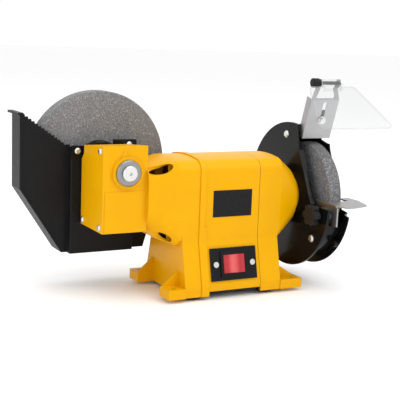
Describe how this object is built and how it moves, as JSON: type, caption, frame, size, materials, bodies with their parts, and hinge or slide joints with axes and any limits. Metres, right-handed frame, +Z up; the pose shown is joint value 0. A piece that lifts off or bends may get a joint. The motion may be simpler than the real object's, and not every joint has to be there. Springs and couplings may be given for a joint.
{
  "type": "bench grinder",
  "caption": "Bench grinder with a guarded dry wheel, a worm-driven slow wet wheel in a water tank, an eye shield and a tool rest.",
  "frame": {"origin": "at the centre of the four bench bolt holes, level with the undersides of the foot lugs, 5 mm above the bench", "axes": "+X along the motor shaft towards the dry wheel, +Y to the back, +Z up"},
  "size_m": [0.4715, 0.231, 0.295],
  "materials": {
    "yellow_paint": "gloss enamel on die castings",
    "black_paint": "gloss black enamel on pressed sheet",
    "black_plastic": "fine moulded grain",
    "switch_plastic": "smooth moulded",
    "rocker_red": "translucent red",
    "label_black": "plain printed plate",
    "rubber": "moulded",
    "zinc_screws": "bright zinc plate",
    "zinc_sheet": "zinc plated sheet",
    "turned_steel": "turned",
    "bearing_steel": "ground and polished",
    "laminations": "stacked electrical sheet",
    "cast_bars": "cast end rings",
    "copper_wire": "varnished copper wire",
    "bronze": "bearing bronze",
    "clip_steel": "spring sheet",
    "cap_black": "pressed-in cap",
    "wet_stone": "fine grey vitrified abrasive",
    "dry_stone": "coarse grey vitrified abrasive",
    "blotter_paper": "printed paper discs",
    "clear_sheet": "clear polycarbonate sheet"
  },
  "bodies": {
    "frame": {"left_end_casting": "yellow_paint", "right_end_casting": "yellow_paint", "motor_housing": "yellow_paint", "gearbox_cover": "yellow_paint", "guard_shell": "black_paint", "guard_cover": "black_paint", "base_plate": "black_paint", "tank_hanger": "black_paint", "water_tank": "black_plastic", "cable_gland": "black_plastic", "switch_plate": "switch_plastic", "switch_body": "switch_plastic", "label_plate": "label_black", "rubber_feet": "rubber", "gearbox_cover_screws": "zinc_screws", "tank_hanger_screws": "zinc_screws", "tank_screws": "zinc_screws", "tie_bolts": "zinc_screws", "foot_screws": "zinc_screws", "guard_cover_screws": "zinc_screws", "guard_plate_screws": "zinc_screws", "guard_plate_nuts": "zinc_screws", "guard_mount_screws": "zinc_screws", "bracket_bolt": "zinc_screws", "bracket_nut": "zinc_screws", "switch_plate_screws": "zinc_screws", "rest_bolt": "zinc_screws", "shaft_end_ring": "turned_steel", "bearing_outer_rings": "bearing_steel", "bearing_balls": "bearing_steel", "stator_core": "laminations", "capacitor": "cast_bars", "stator_windings": "copper_wire", "wet_shaft_bushes": "bronze", "capacitor_clip": "clip_steel"},
    "rotor": {"motor_shaft": "turned_steel", "rotor_core": "laminations", "rotor_end_rings": "cast_bars", "bearing_inner_rings": "bearing_steel", "drive_worm": "turned_steel", "dry_wheel": "dry_stone", "dry_wheel_flanges": "black_paint", "dry_wheel_blotters": "blotter_paper", "dry_wheel_nut": "turned_steel"},
    "wet_drive": {"wet_shaft": "turned_steel", "worm_wheel": "bronze", "wet_wheel": "wet_stone", "wet_wheel_flanges": "black_paint", "wet_wheel_nut": "turned_steel", "shaft_end_cap": "cap_black"},
    "rocker_body": {"rocker": "rocker_red"},
    "bracket": {"shield_bracket": "zinc_sheet", "hinge_nut": "zinc_screws"},
    "shield": {"eye_shield": "clear_sheet"},
    "hinge_knob": {"shield_knob": "black_plastic"},
    "rest_pivot": {"rest_guide": "zinc_sheet"},
    "rest_slide": {"tool_rest": "zinc_sheet"},
    "star_knob": {"rest_knob": "black_plastic"}
  },
  "joints": [
    {"name": "rotor_spin", "type": "hinge", "parent": "frame", "child": "rotor", "pos_m": [0, 0, 0.122], "axis": [1, 0, 0], "continuous": true},
    {"name": "wet_wheel_spin", "type": "hinge", "parent": "frame", "child": "wet_drive", "pos_m": [-0.1515, 0, 0.1655], "axis": [0, 1, 0], "continuous": true},
    {"name": "rocker_tilt", "type": "hinge", "parent": "frame", "child": "rocker_body", "pos_m": [-0.004, -0.05402, 0.04015], "axis": [0, 0.2309, 0.973], "range_deg": [0, 18]},
    {"name": "bracket_slide", "type": "slide", "parent": "frame", "child": "bracket", "axis": [0, -0.3057, 0.9521], "range_m": [-0.005, 0]},
    {"name": "shield_tilt", "type": "hinge", "parent": "bracket", "child": "shield", "pos_m": [0.1425, -0.047, 0.2835], "axis": [-1, 0, 0], "range_deg": [-40, 60]},
    {"name": "hinge_knob_turn", "type": "hinge", "parent": "bracket", "child": "hinge_knob", "pos_m": [0.1425, -0.047, 0.2835], "axis": [1, 0, 0], "range_deg": [-180, 180]},
    {"name": "rest_tilt", "type": "hinge", "parent": "frame", "child": "rest_pivot", "pos_m": [0.12, -0.078, 0.105], "axis": [1, 0, 0], "range_deg": [-10, 10]},
    {"name": "rest_slide", "type": "slide", "parent": "rest_pivot", "child": "rest_slide", "axis": [0, 1, 0], "range_m": [-0.01, 0]},
    {"name": "rest_knob_turn", "type": "hinge", "parent": "frame", "child": "star_knob", "pos_m": [0.106, -0.078, 0.105], "axis": [1, 0, 0], "range_deg": [-180, 180]}
  ],
  "couplings": [
    {"joint": "wet_wheel_spin", "follows": "rotor_spin", "ratio": 0.045455}
  ]
}
